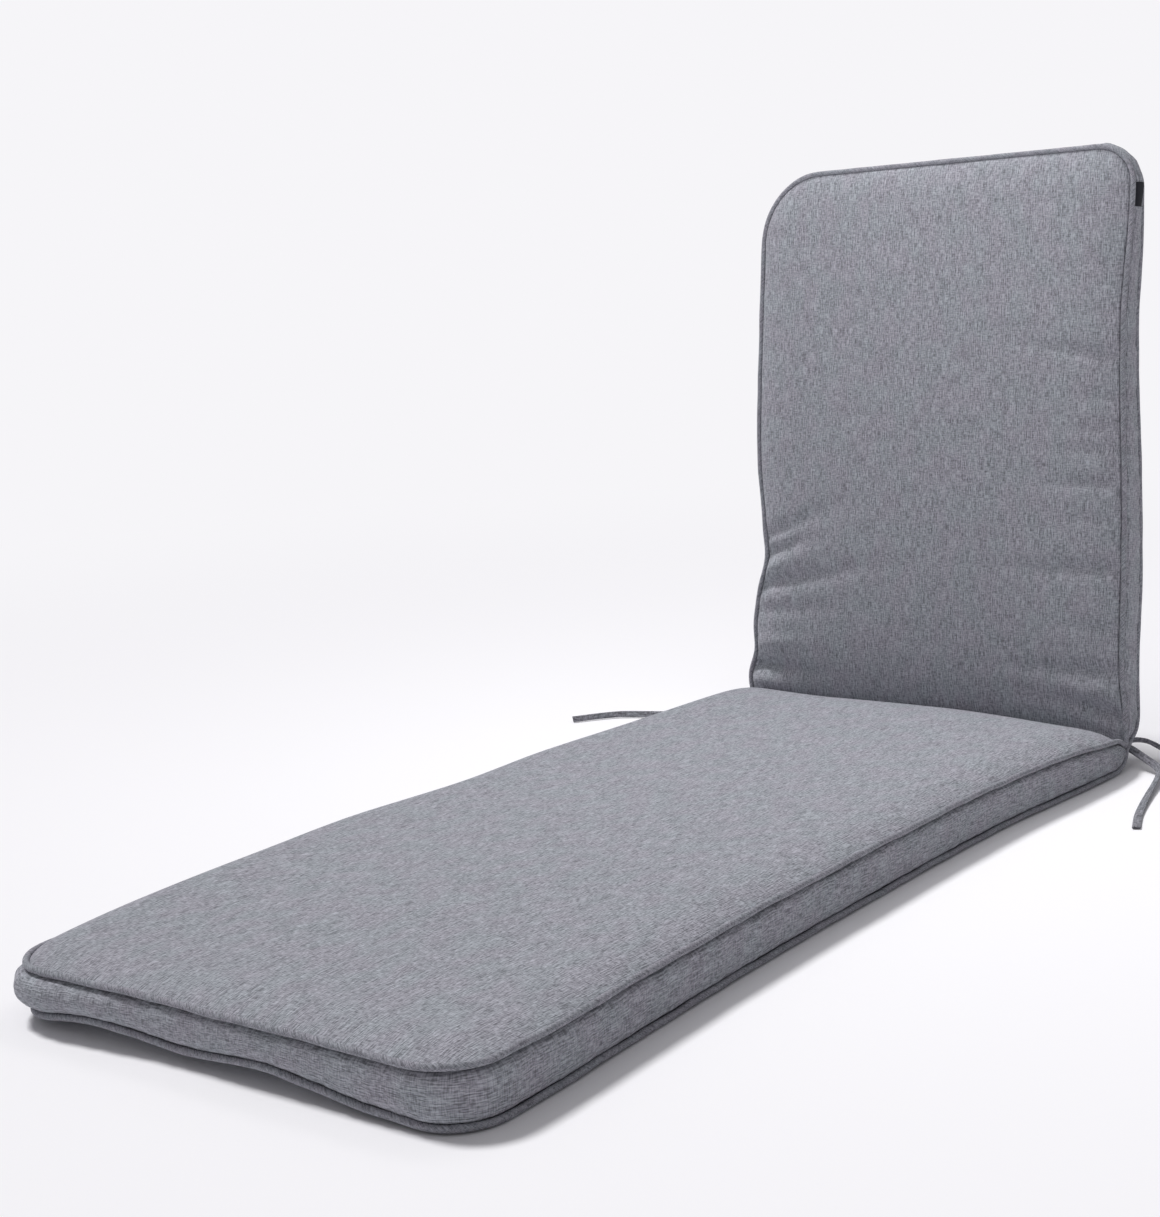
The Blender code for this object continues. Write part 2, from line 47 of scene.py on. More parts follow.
# Camera at the photograph's angle: its place, heading, pitch and roll come from the outlines of
# the seat and the back. The small shift gives the photograph's framing of 1160 by 1217.
VIEW_PLACE = (1.326, -1.666, 0.656)
VIEW_YAW = math.radians(38.27)
VIEW_PITCH = math.radians(9.69)
VIEW_ROLL = math.radians(-3.5)
lens = bpy.data.cameras.new("camera")
lens.sensor_width = 36.0
lens.lens = 56.71
lens.shift_x = -0.0657
lens.clip_start = 0.05
camera = bpy.data.objects.new("camera", lens)
tipped = Matrix.Rotation(math.radians(90) - VIEW_PITCH, 4, "X")
heading = Matrix.Rotation(VIEW_YAW, 4, "Z") @ tipped
camera.matrix_world = Matrix.Translation(VIEW_PLACE) @ heading @ Matrix.Rotation(VIEW_ROLL, 4, "Z")
scene.collection.objects.link(camera)
scene.camera = camera

# Tie tapes: four strands of the cover's own cloth, folded into a flat tube 10 mm wide and cut
# raw at the end. Each pair comes out of one end of the fold and lies on the floor.
TAPE_WIDTH = 0.010
TAPE_THICKNESS = 0.0024
TAPE_CLOTH = 0.022  # cloth once round the tube
TAPE_STATIONS = 150
TAPE_ROUND = 24
SQUARED_ACROSS, SQUARED_THROUGH = 0.6, 0.8  # powers that square off the tube
TURNED_IN = 3  # stations by which the cut end turns back inside
INNER_SIZE = 0.72  # of the part that is turned inside
TAPE_RIPPLES = ((0.05, 410.0, 0.0), (0.04, 173.0, 1.0))  # size, radians in a metre, start
FOLD_X, FOLD_Y = 0.0090, 0.5820  # middle of the stitched fold, from which the routes start
TIE_ROUTES = {  # x, y and z from the fold's middle, and the tape's roll in degrees
    "tie_right_front": (
        (0.2620, 0.0001, 0.0290, 90),
        (0.2720, 0.0001, 0.0290, 90),
        (0.2800, 0.0007, 0.0288, 92),
        (0.2880, 0.0046, 0.0276, 97),
        (0.2973, 0.0068, 0.0242, 106),
        (0.3096, 0.0010, 0.0208, 116),
        (0.3235, -0.0070, 0.0172, 122),
        (0.3350, -0.0123, 0.0138, 126),
        (0.3439, -0.0181, 0.0105, 134),
        (0.3500, -0.0290, 0.0086, 142),
        (0.3560, -0.0475, 0.0074, 146),
        (0.3635, -0.0759, 0.0058, 150),
        (0.3708, -0.1061, 0.0044, 158),
        (0.3844, -0.1561, 0.0030, 170),
        (0.3979, -0.1997, 0.0022, 180),
        (0.4157, -0.2456, 0.0020, 180),
    ),
    "tie_right_rear": (
        (0.2620, 0.0029, 0.0290, 90),
        (0.2660, 0.0031, 0.0290, 90),
        (0.2700, 0.0041, 0.0290, 88),
        (0.2750, 0.0090, 0.0292, 82),
        (0.2825, 0.0220, 0.0296, 68),
        (0.2905, 0.0365, 0.0293, 52),
        (0.3005, 0.0456, 0.0268, 45),
        (0.3090, 0.0505, 0.0225, 42),
        (0.3180, 0.0580, 0.0150, 35),
        (0.3290, 0.0700, 0.0075, 18),
        (0.3420, 0.0880, 0.0028, 4),
        (0.3560, 0.1120, 0.0020, 0),
        (0.3660, 0.1400, 0.0020, 0),
        (0.3690, 0.1700, 0.0020, 0),
        (0.3640, 0.2000, 0.0020, 0),
        (0.3540, 0.2300, 0.0020, 0),
        (0.3440, 0.2560, 0.0020, 0),
    ),
    "tie_left_front": (
        (-0.2620, 0.0000, 0.0355, 90),
        (-0.2720, 0.0000, 0.0355, 90),
        (-0.2800, 0.0012, 0.0352, 88),
        (-0.2880, 0.0060, 0.0338, 84),
        (-0.2960, 0.0092, 0.0312, 78),
        (-0.3080, 0.0110, 0.0260, 70),
        (-0.3290, 0.0110, 0.0160, 62),
        (-0.3560, 0.0090, 0.0085, 58),
        (-0.3900, 0.0040, 0.0064, 55),
        (-0.4350, -0.0080, 0.0060, 55),
        (-0.4797, -0.0233, 0.0058, 55),
        (-0.5140, -0.0378, 0.0058, 55),
        (-0.5385, -0.0603, 0.0055, 52),
        (-0.5642, -0.0940, 0.0052, 50),
    ),
    "tie_left_rear": (
        (-0.2620, 0.0028, 0.0355, 90),
        (-0.2660, 0.0030, 0.0355, 90),
        (-0.2700, 0.0041, 0.0355, 88),
        (-0.2750, 0.0090, 0.0354, 82),
        (-0.2840, 0.0240, 0.0342, 62),
        (-0.2950, 0.0420, 0.0300, 42),
        (-0.3060, 0.0600, 0.0200, 22),
        (-0.3170, 0.0820, 0.0095, 8),
        (-0.3260, 0.1060, 0.0028, 0),
        (-0.3320, 0.1340, 0.0020, 0),
        (-0.3350, 0.1650, 0.0020, 0),
        (-0.3310, 0.1980, 0.0020, 0),
        (-0.3190, 0.2280, 0.0020, 0),
        (-0.3020, 0.2540, 0.0020, 0),
    ),
}


def through(table, key, value, at):
    """Smooth curve through a table's rows: cubic pieces whose slopes come from the neighbours."""
    x = np.array([row[key] for row in table])
    y = np.array([row[value] for row in table])
    slope = np.gradient(y, x)
    at = np.clip(at, x[0], x[-1])
    cell = np.clip(np.searchsorted(x, at) - 1, 0, len(x) - 2)
    width = x[cell + 1] - x[cell]
    t = (at - x[cell]) / width
    start = y[cell] * (1 + 2 * t) * (1 - t) ** 2 + slope[cell] * width * t * (1 - t) ** 2
    end = y[cell + 1] * t ** 2 * (3 - 2 * t) - slope[cell + 1] * width * t ** 2 * (1 - t)
    return start + end


def unit(vectors):
    """Each vector divided by its own length."""
    return vectors / np.linalg.norm(vectors, axis=-1, keepdims=True)


def sines(run, table, phase=1.0):
    """Sum of sines along a run, by rows of size, radians in a metre and share of the phase."""
    return sum(size * np.sin(run * pace + start * phase) for size, pace, start in table)


def sewn_piece(name, points, faces, uvs):
    """A piece on the cushion's body: a mesh with a UV for every face corner, shaded smooth."""
    mesh = bpy.data.meshes.new(name)
    mesh.from_pydata(points.reshape(-1, 3), [], faces)
    layer = mesh.uv_layers.new(name="cloth")
    layer.data.foreach_set("uv", np.concatenate([np.ravel(uv) for uv in uvs]).astype(np.float32))
    mesh.shade_smooth()
    mesh.update()
    piece = bpy.data.objects.new(name, mesh)
    scene.collection.objects.link(piece)
    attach(piece, "root")
    return piece


def ring_faces(first, second):
    """Quads between two closed rings of point numbers."""
    return np.stack([first, np.roll(first, -1), np.roll(second, -1), second], axis=1)


def tape_route(route):
    """Centre, width direction and face direction of a tape, by curves through its points."""
    table = [dict(zip(("x", "y", "z", "roll"), row), step=step) for step, row in enumerate(route)]
    at = np.linspace(0, len(route) - 1, TAPE_STATIONS)
    centre = np.stack([through(table, "step", axis, at) for axis in ("x", "y", "z")], axis=-1)
    roll = np.radians(through(table, "step", "roll", at))[:, None]
    direction = unit(np.gradient(centre, axis=0))
    level = unit(np.cross(direction, [0.0, 0.0, 1.0]))
    width = np.cos(roll) * level + np.sin(roll) * np.cross(level, direction)
    return centre + (FOLD_X, FOLD_Y, 0.0), width, np.cross(direction, width)


def tape_tube(centre, width, face):
    """Flat tube: a rounded oblong carried along the route, then turned back inside the cut end.

    Across the tape the oblong follows the cosine of the angle, through it the sine, both
    raised to a power that squares them off. The last rings lie inside the tube, so that the
    cut end is open and its two layers show.
    """
    angle = np.linspace(0, 2 * math.pi, TAPE_ROUND, endpoint=False)
    across = np.sign(np.cos(angle)) * np.abs(np.cos(angle)) ** SQUARED_ACROSS
    thick = np.sign(np.sin(angle)) * np.abs(np.sin(angle)) ** SQUARED_THROUGH
    last = TAPE_STATIONS - 1
    stations = np.concatenate([np.arange(TAPE_STATIONS), [last, last - TURNED_IN]])
    fit = np.where(np.arange(len(stations)) < TAPE_STATIONS, 1.0, INNER_SIZE)
    length = np.concatenate([[0.0], np.cumsum(np.linalg.norm(np.diff(centre, axis=0), axis=1))])
    ripple = 1.0 + sines(length, TAPE_RIPPLES)
    wide = (TAPE_WIDTH / 2 * fit)[:, None] * across
    deep = (TAPE_THICKNESS / 2 * fit ** 2 * ripple[stations])[:, None] * thick
    points = centre[stations][:, None] + wide[..., None] * width[stations][:, None]
    points = points + deep[..., None] * face[stations][:, None]
    rings = np.arange(points.shape[0] * TAPE_ROUND).reshape(-1, TAPE_ROUND)
    faces = np.concatenate([ring_faces(rings[k], rings[k + 1]) for k in range(len(rings) - 1)])
    u = np.arange(TAPE_ROUND + 1) * TAPE_CLOTH / TAPE_ROUND
    v = length[stations]
    side_by_side = np.stack([u[:-1], u[1:], u[1:], u[:-1]], 1)
    corners = [np.stack([side_by_side, 0.0 * side_by_side + (v[k], v[k], v[k + 1], v[k + 1])], -1)
               for k in range(len(rings) - 1)]
    ends = [rings[0][::-1].tolist(), rings[-1].tolist()]
    corners.append(np.zeros((TAPE_ROUND * 2, 2)))
    return points, faces.tolist() + ends, corners, length[-1]


tapes = []
for tie_name, tie_route in TIE_ROUTES.items():
    tape_centre, tape_width, tape_face = tape_route(tie_route)
    tape_points, tape_faces, tape_uvs, tape_length = tape_tube(tape_centre, tape_width, tape_face)
    tape = sewn_piece(tie_name + "_tape", tape_points, tape_faces, tape_uvs)
    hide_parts(tie_name)
    tapes.append(tape)

# Woven cloth of the whole cover: a matt heathered grey, with light and dark yarns mixed. Fine
# streaks run along the length, weaker ones across, and the tint drifts over a few centimetres.
# The UVs are in metres, so each scale below is a number of features in a metre.


def node(tree, kind, place, **values):
    """A shader node at a place in the tree, with its properties set."""
    made = tree.nodes.new(kind)
    made.location = place
    for key, value in values.items():
        setattr(made, key, value)
    return made


def cloth_noise(tree, vector, row, scale, detail):
    """Noise over the cloth, stretched by a scale across and a scale along."""
    place = node(tree, "ShaderNodeMapping", (-900, 300 - 280 * row))
    place.inputs["Scale"].default_value = (*scale, 1.0)
    place.inputs["Location"].default_value = (3.1 * row, 1.7 * row, 0.0)
    noise = node(tree, "ShaderNodeTexNoise", (-700, 300 - 280 * row), noise_dimensions="2D")
    noise.inputs["Scale"].default_value = 1.0
    noise.inputs["Detail"].default_value = detail
    noise.inputs["Roughness"].default_value = 0.55
    tree.links.new(vector, place.inputs["Vector"])
    tree.links.new(place.outputs["Vector"], noise.inputs["Vector"])
    return noise.outputs["Fac"]


def spread(tree, value, place, low, high):
    """A value between low and high, stretched to run from 0 to 1."""
    made = node(tree, "ShaderNodeMapRange", place, clamp=True)
    made.inputs["From Min"].default_value = low
    made.inputs["From Max"].default_value = high
    tree.links.new(value, made.inputs["Value"])
    return made.outputs["Result"]


YARN_NOISES = (  # features in a metre across and along, detail, weight
    ((820.0, 190.0), 1.0, 1.0),
    ((1000.0, 55.0), 0.0, 0.75),
    ((120.0, 950.0), 0.0, 0.55),
    ((520.0, 380.0), 1.0, 0.25),
    ((70.0, 22.0), 2.0, 0.22),
)
YARN_LOW, YARN_HIGH = 1.00, 1.77  # sums of the noises that are all dark and all light
TINT_NOISE = ((30.0, 21.0), 1.0)
TINT_LOW, TINT_HIGH = 0.32, 0.68  # values of its noise that are all warm and all cool
WARM_TINT = (1.018, 0.988, 1.003, 1.0)
COOL_TINT = (0.980, 1.010, 0.998, 1.0)


def heathered_yarns():
    """Node group: the cloth's colour and its thread height.

    The height is the weighted sum of the streaked noises, and blends dark and light yarn. A
    slow noise then tints the colour.
    """
    group = bpy.data.node_groups.new("Heathered yarns", "ShaderNodeTree")
    sockets = group.interface
    sockets.new_socket("Cloth place", in_out="INPUT", socket_type="NodeSocketVector")
    for label in ("Light yarn", "Dark yarn"):
        sockets.new_socket(label, in_out="INPUT", socket_type="NodeSocketColor")
    sockets.new_socket("Colour", in_out="OUTPUT", socket_type="NodeSocketColor")
    sockets.new_socket("Thread height", in_out="OUTPUT", socket_type="NodeSocketFloat")
    enter = node(group, "NodeGroupInput", (-1150, 0))
    leave = node(group, "NodeGroupOutput", (900, 0))
    vector = enter.outputs["Cloth place"]
    scale, detail, _ = YARN_NOISES[0]
    total = cloth_noise(group, vector, 0, scale, detail)
    for row, (scale, detail, weight) in enumerate(YARN_NOISES[1:], start=1):
        add = node(group, "ShaderNodeMath", (-500 + 180 * row, 300 - 120 * row),
                   operation="MULTIPLY_ADD")
        add.inputs[1].default_value = weight
        group.links.new(cloth_noise(group, vector, row, scale, detail), add.inputs[0])
        group.links.new(total, add.inputs[2])
        total = add.outputs[0]
    height = spread(group, total, (200, 0), YARN_LOW, YARN_HIGH)
    blend = node(group, "ShaderNodeMix", (420, 150), data_type="RGBA")
    group.links.new(height, blend.inputs["Factor"])
    group.links.new(enter.outputs["Dark yarn"], blend.inputs[6])
    group.links.new(enter.outputs["Light yarn"], blend.inputs[7])
    slow = cloth_noise(group, vector, len(YARN_NOISES), *TINT_NOISE)
    drift = spread(group, slow, (200, -300), TINT_LOW, TINT_HIGH)
    tint = node(group, "ShaderNodeMix", (420, -200), data_type="RGBA")
    tint.inputs[6].default_value = WARM_TINT
    tint.inputs[7].default_value = COOL_TINT
    group.links.new(drift, tint.inputs["Factor"])
    tinted = node(group, "ShaderNodeMix", (640, 100), data_type="RGBA", blend_type="MULTIPLY")
    tinted.inputs["Factor"].default_value = 1.0
    group.links.new(blend.outputs[2], tinted.inputs[6])
    group.links.new(tint.outputs[2], tinted.inputs[7])
    group.links.new(tinted.outputs[2], leave.inputs["Colour"])
    group.links.new(height, leave.inputs["Thread height"])
    return group


def woven_cloth(name, light, dark, relief):
    """Matt cloth finish from the heathered yarns, with a soft fibre sheen at glancing angles."""
    finish = bpy.data.materials.new(name)
    finish.use_nodes = True
    tree = finish.node_tree
    shader = tree.nodes["Principled BSDF"]
    shader.inputs["Roughness"].default_value = 0.93
    shader.inputs["Specular IOR Level"].default_value = 0.12
    shader.inputs["Sheen Weight"].default_value = 0.08
    shader.inputs["Sheen Roughness"].default_value = 0.5
    place = node(tree, "ShaderNodeUVMap", (-900, 0), uv_map="cloth")
    yarns = node(tree, "ShaderNodeGroup", (-600, 0), node_tree=YARNS)
    yarns.inputs["Light yarn"].default_value = (*light, 1.0)
    yarns.inputs["Dark yarn"].default_value = (*dark, 1.0)
    bump = node(tree, "ShaderNodeBump", (-300, -200))
    bump.inputs["Distance"].default_value = relief
    bump.inputs["Strength"].default_value = 1.0
    tree.links.new(place.outputs["UV"], yarns.inputs["Cloth place"])
    tree.links.new(yarns.outputs["Colour"], shader.inputs["Base Color"])
    tree.links.new(yarns.outputs["Thread height"], bump.inputs["Height"])
    tree.links.new(bump.outputs["Normal"], shader.inputs["Normal"])
    return finish


YARNS = heathered_yarns()
cover_cloth = woven_cloth("cover_cloth", (0.462, 0.470, 0.522), (0.166, 0.169, 0.189), 0.0004)
piping_cloth = woven_cloth("piping_cloth", (0.390, 0.393, 0.438), (0.155, 0.156, 0.177), 0.0003)
tape_cloth = woven_cloth("tape_cloth", (0.330, 0.332, 0.371), (0.094, 0.095, 0.107), 0.0004)
for tape in tapes:
    tape.data.materials.append(tape_cloth)

# The filled cover: front panel, rear panel and border are sewn together round two fillings and
# stitched through where they fold. Its shape is a function of the place across and along.
SEAT_LENGTH = 1.262  # from the stitched fold to the foot end
BACK_LENGTH = 0.7425  # from the fold to the top
BACK_LEAN = math.radians(6.7)
SEAM_LOW = 0.008  # height of the rear seam over the floor
SEAM_HIGH = 0.050  # height of the front seam
SEAM_RAISE = 0.006  # added to it along the right side and the foot end
SEAM_RAISE_REACH = 0.20
WEB_FRONT, WEB_REAR = 0.0012, 0.0018  # the stitched row, from the middle of the fold
EDGE_RISE = {"seat": 0.018, "back": 0.013}  # of the front panel inside its seam
EDGE_REACH = 0.055
LEFT_RISE = {"seat": 0.029, "back": 0.013}  # the same along the left side
LEFT_REACH = {"seat": 0.036, "back": 0.055}
LEFT_BAND = 0.16  # width over which the left rise turns into the right one
END_SLACK = 0.28  # share of the rise that is missing at the ends
GENTLE_EDGE = 0.75  # share of the seat's rise that follows the gentler curve
BROAD_RISE = 0.007  # of the crown over the whole width
BROAD_REACH = 0.40
HALF_WIDTH = 0.295
FOLD_REACH = 0.035  # the fillings reach their height this far from the fold
REAR_REACH = 0.030  # the rear panel is flat this far inside its seam
BORDER_BULGE = 0.003
CORNER_BULGE, CORNER_TUCK, CORNER_REACH = 0.010, 0.004, 0.11  # left foot corner
TOP_BULGE, TOP_TUCK, TOP_REACH = 0.004, 0.003, 0.09  # top right corner
SINK = 0.009  # drop of the fold's right end
SINK_FROM, SINK_FULL = 0.04, 0.29
SINK_REACH = 0.085
DIP = 0.012  # drop of the fold's two tips
DIP_FROM, DIP_OVER = 0.258, 0.030
DIP_REACH = 0.017
SIDES = {  # left and right seam by the distance from the fold
    "seat": (
        {"along": 0.000, "left": -0.287, "right": 0.291, "droop": 0.0000},
        {"along": 0.060, "left": -0.293, "right": 0.294, "droop": 0.0010},
        {"along": 0.150, "left": -0.299, "right": 0.288, "droop": 0.0030},
        {"along": 0.300, "left": -0.308, "right": 0.277, "droop": 0.0050},
        {"along": 0.470, "left": -0.318, "right": 0.275, "droop": 0.0060},
        {"along": 0.620, "left": -0.309, "right": 0.277, "droop": 0.0060},
        {"along": 0.800, "left": -0.321, "right": 0.281, "droop": 0.0060},
        {"along": 0.950, "left": -0.308, "right": 0.288, "droop": 0.0050},
        {"along": 1.050, "left": -0.298, "right": 0.294, "droop": 0.0030},
        {"along": 1.150, "left": -0.287, "right": 0.3005, "droop": 0.0010},
        {"along": 1.262, "left": -0.2715, "right": 0.3020, "droop": 0.0000},
    ),
    "back": (
        {"along": 0.000, "left": -0.287, "right": 0.291},
        {"along": 0.030, "left": -0.292, "right": 0.289},
        {"along": 0.064, "left": -0.283, "right": 0.284},
        {"along": 0.100, "left": -0.285, "right": 0.282},
        {"along": 0.155, "left": -0.278, "right": 0.282},
        {"along": 0.200, "left": -0.266, "right": 0.282},
        {"along": 0.240, "left": -0.270, "right": 0.281},
        {"along": 0.340, "left": -0.282, "right": 0.278},
        {"along": 0.440, "left": -0.284, "right": 0.273},
        {"along": 0.530, "left": -0.283, "right": 0.271},
        {"along": 0.640, "left": -0.281, "right": 0.277},
        {"along": 0.7425, "left": -0.281, "right": 0.280},
    ),
}
BACK_THINNING = (  # how far the rear panel of the back comes forward
    {"along": 0.000, "forward": 0.0000},
    {"along": 0.060, "forward": -0.0030},
    {"along": 0.150, "forward": -0.0055},
    {"along": 0.280, "forward": -0.0045},
    {"along": 0.380, "forward": -0.0005},
    {"along": 0.500, "forward": 0.0030},
    {"along": 0.580, "forward": 0.0065},
    {"along": 0.660, "forward": 0.0110},
    {"along": 0.7425, "forward": 0.0130},
)
FOOT_END = (  # how far the foot end lies from the fold
    {"across": -0.290, "along": 1.276},
    {"across": -0.150, "along": 1.268},
    {"across": -0.050, "along": 1.262},
    {"across": 0.045, "along": 1.2595},
    {"across": 0.130, "along": 1.2565},
    {"across": 0.215, "along": 1.2545},
    {"across": 0.300, "along": 1.250},
)
FOOT_SKEW_REACH = 0.25
FOOT_LIFT = (  # how far the foot end's lower seam is off its level
    {"across": -0.290, "lift": 0.0030},
    {"across": -0.225, "lift": 0.0070},
    {"across": -0.180, "lift": 0.0125},
    {"across": -0.110, "lift": 0.0142},
    {"across": -0.060, "lift": 0.0112},
    {"across": 0.000, "lift": 0.0100},
    {"across": 0.045, "lift": 0.0135},
    {"across": 0.100, "lift": 0.0140},
    {"across": 0.130, "lift": 0.0112},
    {"across": 0.180, "lift": 0.0062},
    {"across": 0.230, "lift": 0.0028},
    {"across": 0.300, "lift": 0.0000},
)
FOOT_LIFT_ALONG = 0.07
CORNER_RADII = {
    "seat": {"left": 0.060, "right": 0.046},
    "back": {"left": 0.092, "right": 0.048},
}
FOLD_TURN = (  # the rear panel's turn into the fold, by the distance on the front panel
    {"front": 0.000, "rear": -0.0018, "height": 0.0482, "turn": 60, "fill": 0.00},
    {"front": 0.007, "rear": 0.0040, "height": 0.0405, "turn": 80, "fill": 0.15},
    {"front": 0.015, "rear": 0.0055, "height": 0.0290, "turn": 84, "fill": 0.40},
    {"front": 0.026, "rear": 0.0090, "height": 0.0200, "turn": 70, "fill": 0.60},
    {"front": 0.040, "rear": 0.0210, "height": 0.0115, "turn": 35, "fill": 0.80},
    {"front": 0.058, "rear": 0.0400, "height": 0.0082, "turn": 0, "fill": 1.00},
    {"front": 0.080, "rear": 0.0700, "height": 0.0080, "turn": 0, "fill": 1.00},
    {"front": 0.110, "rear": 0.1100, "height": 0.0080, "turn": 0, "fill": 1.00},
)
BACK_CREASES = {  # where each starts, its rise over its reach, its depth and half width
    "left": (
        {"along": 0.024, "rise": -0.010, "reach": 0.09, "depth": -0.0080, "half": 0.008},
        {"along": 0.047, "rise": -0.008, "reach": 0.12, "depth": 0.0150, "half": 0.009},
        {"along": 0.076, "rise": 0.008, "reach": 0.10, "depth": -0.0050, "half": 0.010},
        {"along": 0.122, "rise": 0.016, "reach": 0.16, "depth": 0.0034, "half": 0.010},
        {"along": 0.160, "rise": 0.034, "reach": 0.17, "depth": 0.0105, "half": 0.011},
        {"along": 0.184, "rise": 0.034, "reach": 0.10, "depth": -0.0030, "half": 0.008},
        {"along": 0.206, "rise": 0.026, "reach": 0.08, "depth": 0.0085, "half": 0.008},
        {"along": 0.232, "rise": 0.050, "reach": 0.14, "depth": 0.0060, "half": 0.010},
    ),
    "right": (
        {"along": 0.026, "rise": 0.016, "reach": 0.10, "depth": 0.0120, "half": 0.008},
        {"along": 0.052, "rise": 0.004, "reach": 0.10, "depth": -0.0045, "half": 0.008},
        {"along": 0.080, "rise": -0.004, "reach": 0.13, "depth": 0.0095, "half": 0.008},
        {"along": 0.130, "rise": 0.004, "reach": 0.07, "depth": 0.0042, "half": 0.006},
        {"along": 0.208, "rise": -0.004, "reach": 0.14, "depth": 0.0085, "half": 0.009},
        {"along": 0.270, "rise": 0.000, "reach": 0.08, "depth": 0.0046, "half": 0.006},
        {"along": 0.318, "rise": -0.002, "reach": 0.13, "depth": 0.0052, "half": 0.006},
        {"along": 0.360, "rise": 0.000, "reach": 0.09, "depth": 0.0052, "half": 0.005},
        {"along": 0.388, "rise": -0.003, "reach": 0.06, "depth": 0.0042, "half": 0.005},
        {"along": 0.430, "rise": 0.000, "reach": 0.07, "depth": 0.0050, "half": 0.006},
        {"along": 0.478, "rise": 0.020, "reach": 0.12, "depth": 0.0095, "half": 0.008},
        {"along": 0.575, "rise": 0.004, "reach": 0.07, "depth": 0.0024, "half": 0.006},
        {"along": 0.600, "rise": -0.003, "reach": 0.08, "depth": 0.0028, "half": 0.006},
    ),
}
SEAM_HOLD = 0.006  # the seam holds the creases flat this close to it
COLUMNS = 113
CROWDING = 0.078  # of the columns towards both sides
SEAT_ROWS = 170
BACK_ROWS = 124
END_ROWS = 20
END_STRIP = 0.10
END_GAP = 0.002
BORDER_LEVELS = (  # from the rear seam to the front one
    0.0, 0.03, 0.06, 0.10, 0.15, 0.22, 0.32, 0.44, 0.56, 0.66, 0.74, 0.80,
    0.845, 0.875, 0.895, 0.912, 0.928, 0.945, 0.965, 0.985, 1.0,
)
BORDER_SHOULDER = 0.0042
SHOULDER_REAR = 0.008  # reach of the shoulder from the rear seam
SHOULDER_FROM, SHOULDER_FRONT = 0.0030, 0.0065  # its start and reach below the front seam
SHOULDER_FULL = 0.040  # border height from which it is whole
BORDER_PINCH, PINCH_AT, PINCH_FULL = 0.0052, 0.0026, 0.020  # groove under the front piping
BORDER_PUCKER = 0.0005
PUCKER_WAVES = (  # size, radians in a metre, slant up the border
    (1.0, 310.0, 5.0),
    (1.0, 187.0, -4.0),
    (1.0, 83.0, 0.0),
)


def swell(distance, reach):
    """Quarter-round rise from 0 at a seam to 1 at the reach, then level."""
    t = np.clip(distance / reach, 0.0, 1.0)
    return np.sqrt(1.0 - (1.0 - t) ** 2)


def side_at(section, side, along):
    """Place across of a section's side seam, before its corner is rounded."""
    return through(SIDES[section], "along", side, along)


def corner_inset(radius, from_end):
    """How far a rounded corner draws the side in, by the distance from the end."""
    short = np.clip(radius - from_end, 0.0, radius)
    return radius - np.sqrt(radius ** 2 - short ** 2)


def seam_distance(section, across, along, from_end):
    """Distance of a panel's point from the section's outline with its rounded corners."""
    nearest = np.full(np.shape(across), np.inf)
    for side in ("left", "right"):
        radius = CORNER_RADII[section][side]
        inward = np.abs(side_at(section, side, along) - across)
        short_side = np.clip(radius - inward, 0.0, None)
        short_end = np.clip(radius - from_end, 0.0, None)
        rounded = radius - np.hypot(short_side, short_end)
        plain = np.minimum(inward, from_end)
        nearest = np.minimum(nearest, np.where(rounded > 0.999 * radius, plain, rounded))
    return np.clip(nearest, 0.0, None)


def creases(across, along):
    """Depth of the back's creases: soft troughs that start at a side seam and fade inwards.

    Each is a bell curve across its line, times a wider one that fades it along its reach.
    """
    depth = np.zeros(np.shape(across))
    for side, rows in BACK_CREASES.items():
        inward = np.abs(side_at("back", side, along) - across)
        held = 1.0 - np.exp(-inward / SEAM_HOLD)
        for row in rows:
            run = np.clip(inward / row["reach"], 0.0, 1.0)
            centre = row["along"] + row["rise"] * run
            trough = np.exp(-((along - centre) / row["half"]) ** 2)
            strength = np.exp(-2.0 * (inward / row["reach"]) ** 2) * held
            depth += row["depth"] * strength * trough
    return depth


def front_height(section, across, along, from_end):
    """Height of the front panel: a quick rise inside the seam and a broad low crown.

    The rise is a quarter round of the distance from the seam, the crown a parabola across. On
    the seat a share of a parabola makes the rise gentler along the right side and the foot
    end than on the left, and the seam itself is drawn up there.
    """
    distance = seam_distance(section, across, along, from_end)
    full = swell(from_end, BROAD_REACH)
    broad = np.clip(1.0 - (across / HALF_WIDTH) ** 2, 0.0, 1.0) * full
    left = np.clip((across - side_at(section, "left", along)) / LEFT_BAND, 0.0, 1.0)
    left = (1.0 - left * left * (3.0 - 2.0 * left)) * full
    rise = EDGE_RISE[section] + (LEFT_RISE[section] - EDGE_RISE[section]) * left
    reach = EDGE_REACH + (LEFT_REACH[section] - EDGE_REACH) * left
    lift = swell(distance, reach)
    seam_raise = 0.0
    if section == "seat":
        seam_raise = SEAM_RAISE * (1.0 - left) * (1.0 - np.exp(-along / SEAM_RAISE_REACH))
        gentle = 1.0 - (1.0 - np.clip(distance / reach, 0.0, 1.0)) ** 2
        lift = lift + GENTLE_EDGE * (1.0 - left) * (gentle - lift)
    edge = seam_raise + (rise * (1.0 - END_SLACK * (1.0 - full)) - seam_raise) * lift
    held = 1.0 - np.exp(-along / FOLD_REACH)
    height = (edge + BROAD_RISE * broad) * held
    if section == "back":
        return SEAM_HIGH + height - creases(across, along)
    return SEAM_HIGH + height - through(SIDES["seat"], "along", "droop", along) * left


